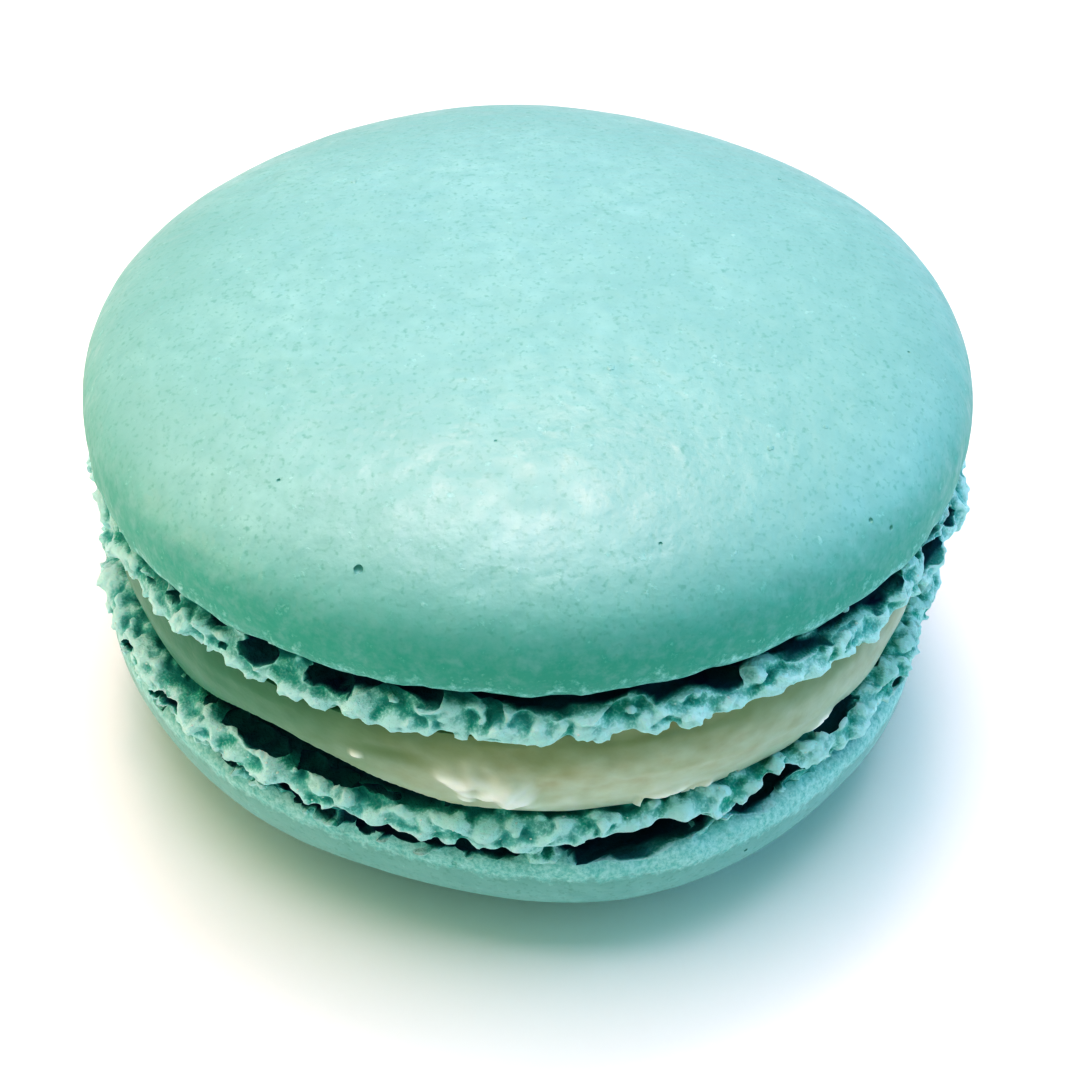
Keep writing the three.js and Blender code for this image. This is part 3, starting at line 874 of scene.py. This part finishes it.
def knifeStrokes(angle, up, draw):
    reach, strokes = np.zeros_like(angle), creamSettings["strokes"]
    for number in range(strokes["count"]):
        middle = draw.uniform(-180, 180)
        level, length, width, height, drift = (
            draw.uniform(*strokes[key]) for key in ("level", "length", "width", "reach", "drift"))
        off = turnBetween(angle, middle) / length
        away = (up - (level + drift * off)) / width
        reach += height * easeStep(np.abs(off), 1, 0.4) * np.exp(-away ** 2)
    return reach


def creamLevels(points):   # where the seats hold the cream at each point
    floor = bottomShell["level"] + bottomShell["foot"]["depth"] + creamSettings["seatGap"]
    return floor, upperSeat(points[:, 0], points[:, 1]) - creamSettings["seatGap"]


def shapeCream():
    settings = creamSettings
    radius, rings = settings["radius"], settings["rings"]
    section = [(settings["innerRadius"], 0), (settings["innerRadius"], 1)]
    section[1:1] = [(radius + settings["bulge"] * math.sin(math.pi * ring / rings), ring / rings)
                    for ring in range(rings + 1)]
    cream = turnSection("buttercreamFilling", section, settings["around"], "fill")
    points = readPoints(cream)
    angle, up = np.arctan2(points[:, 1], points[:, 0]), points[:, 2].copy()
    reach = np.hypot(points[:, 0], points[:, 1])
    floor, ceiling = creamLevels(points)
    level = floor + up * (ceiling - floor)
    ragged = raggedness(np.stack([points[:, 0], points[:, 1], level], 1), 0.8, 1.0)

    out = lobeReach(settings["lobes"], angle) + knifeStrokes(angle, up, random.Random(settings["seed"]))
    out += 0.5 * raggedness(np.stack([points[:, 0], points[:, 1], level], 1), 3.0, 0.25)
    pale = np.zeros_like(up)
    for middle, height, length, width, slope, lift in settings["smears"]:
        off = turnBetween(angle, middle)
        above = (level - height - slope * off) / width + 1.1 * ragged
        ridge = np.exp(-(off / length) ** 4) * np.exp(-np.where(above > 0, above / 1.3, above / 0.7) ** 2)
        out += lift * ridge
        pale = np.maximum(pale, ridge)
    undercut = settings["undercut"]
    gape = np.exp(-(turnBetween(angle, undercut["angle"]) / undercut["spread"]) ** 2)
    out -= undercut["depth"] * easeStep(up, 0.52 * gape, 0.36 * gape - 0.02) * np.minimum(1, 3 * gape)
    out -= undercut["lean"] * gape * easeStep(up, 1.0, 0.3)
    for middle, width, height, depth in settings["torn"]:
        away = np.abs(turnBetween(angle, middle)) / width + 0.35 * ragged
        edge = height * np.sqrt(np.clip(1 - away ** 2, 0, 1)) + 0.1 * ragged * (away < 1)
        out -= depth * easeStep(level - floor, edge + 0.12, edge - 0.05) * (edge > 0.08)
    reach = reach + easeStep(reach, settings["innerRadius"], radius - 0.1) * out
    points[:, 0], points[:, 1] = reach * np.cos(angle), reach * np.sin(angle)
    floor, ceiling = creamLevels(points)
    points[:, 2] = floor + up * (ceiling - floor)
    writePoints(cream, points)

    shadeNearTop = settings["shadeNearTop"]
    # Painted highlight on the smears and painted light at the lower edge, painted shade of the shells, and
    # painted shade near the upper shell.
    marks = np.zeros((len(points), 3))
    low = settings["litLowerEdge"]
    litEdge = low["share"] * np.exp(-(turnBetween(angle, low["angle"]) / low["spread"]) ** 2)
    litEdge *= easeStep(up, 0.5, 0.05)
    marks[:, 0] = np.clip(np.maximum(pale, litEdge) * (1 + ragged), 0, 1)
    marks[:, 1] = np.clip(sum(share * np.exp(-(turnBetween(angle, middle) / spread) ** 4)
                              for middle, spread, share in settings["shades"]), 0, 1)
    spot = np.exp(-(turnBetween(angle, shadeNearTop["angle"]) / shadeNearTop["spread"]) ** 2
                  - ((level - shadeNearTop["level"]) / shadeNearTop["height"]) ** 2)
    marks[:, 2] = np.maximum(0.8 * spot, shadeNearTop["share"] * easeStep(up + 0.1 * ragged, 0.45, 0.95))
    storeMarks(cream, marks)
    return cream


filling = shapeCream()
filling.data.materials.append(cream)
pickOnly(filling)
bpy.ops.object.shade_smooth_by_angle(angle=math.radians(50))
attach(filling, "root")
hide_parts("filling")
print("buttercream made of", len(filling.data.polygons), "faces")

# Sugar that did not melt glints on the feet, and a few flakes of almond lie on the top cap.
sugarSettings = {
    "colour": "#d2f0ec", "ior": 1.54, "roughness": 0.12,
    "seed": 8, "grains": 170, "size": (0.1, 0.18), "across": (0.7, 1.0), "thickness": 0.8,
    # between which levels on each foot, how far out a grain may lie, and how steeply it falls there
    "topLevels": (18.2, 20.0), "bottomLevels": (9.8, 11.8), "innerReach": 22.6, "slope": 0.7,
    # flakes on the top cap, in mm from its middle
    "flakes": ((-0.04, 3.86), (11.6, -13.1), (14.4, -11.3), (-9.5, 8.4), (4.2, -8.8)),
    "flakeSize": (0.25, 0.4), "flakeThickness": 0.3,
}


def makeSugar():   # a clear sugar crystal over white, glossy, so that it glints
    material = bpy.data.materials.new("castorSugar")
    material.use_nodes = True
    shader = material.node_tree.nodes["Principled BSDF"]
    shader.inputs["Base Color"].default_value = linearColour(sugarSettings["colour"])
    shader.inputs["IOR"].default_value = sugarSettings["ior"]
    shader.inputs["Roughness"].default_value = sugarSettings["roughness"]
    return material


def landOn(piece, start, way):   # where a ray meets a piece, in mm, and which way the surface faces
    found, spot, normal = piece.ray_cast(Vector(start) * mm, Vector(way))[:3]
    return (spot / mm, normal) if found else (None, None)


def strewSugar(shells):
    draw = random.Random(sugarSettings["seed"])
    grain, flake = shapeBlob(1, 0.1, 1), shapeBlob(2, 0.16, 2)
    bits = []
    grain.data.materials.append(makeSugar())
    flake.data.materials.append(skin)

    def settle(model, spot, normal, sizes, thickness):
        size = draw.uniform(*sizes)
        turn = normal.to_track_quat('Z', 'Y').to_matrix().to_4x4()
        stretch = Matrix.Diagonal((size, size * draw.uniform(*sugarSettings["across"]), size * thickness, 1))
        bits.append(placeCopy(model, Matrix.Translation(spot * mm) @ turn @ stretch))

    top, bottom = (shells[0], sugarSettings["topLevels"]), (shells[1], sugarSettings["bottomLevels"])
    for number in range(sugarSettings["grains"]):
        shell, levels = draw.choice((top, bottom, bottom))   # two of three on the lower foot
        angle = math.radians(draw.uniform(-180, 180))
        level = draw.uniform(*levels)
        out = Vector((math.cos(angle), math.sin(angle), 0))
        start, way = out * 40 + Vector((0, 0, level + 12)), -out - Vector((0, 0, sugarSettings["slope"]))
        spot, normal = landOn(shell, start, way.normalized())
        if spot and math.hypot(spot.x, spot.y) > sugarSettings["innerReach"]:
            settle(grain, spot, normal, sugarSettings["size"], sugarSettings["thickness"])
    for x, y in sugarSettings["flakes"]:
        spot, normal = landOn(shells[0], (x, y, 60), (0, 0, -1))
        if spot:
            settle(flake, spot, normal, sugarSettings["flakeSize"], sugarSettings["flakeThickness"])
    for model in (grain, flake):
        bpy.data.objects.remove(model)
    return joinPieces(bits, "sugarGrains")


sugar = strewSugar(shells)
pickOnly(sugar)
bpy.ops.object.transform_apply()
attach(sugar, "root")
print("sugar made of", len(sugar.data.polygons), "faces")
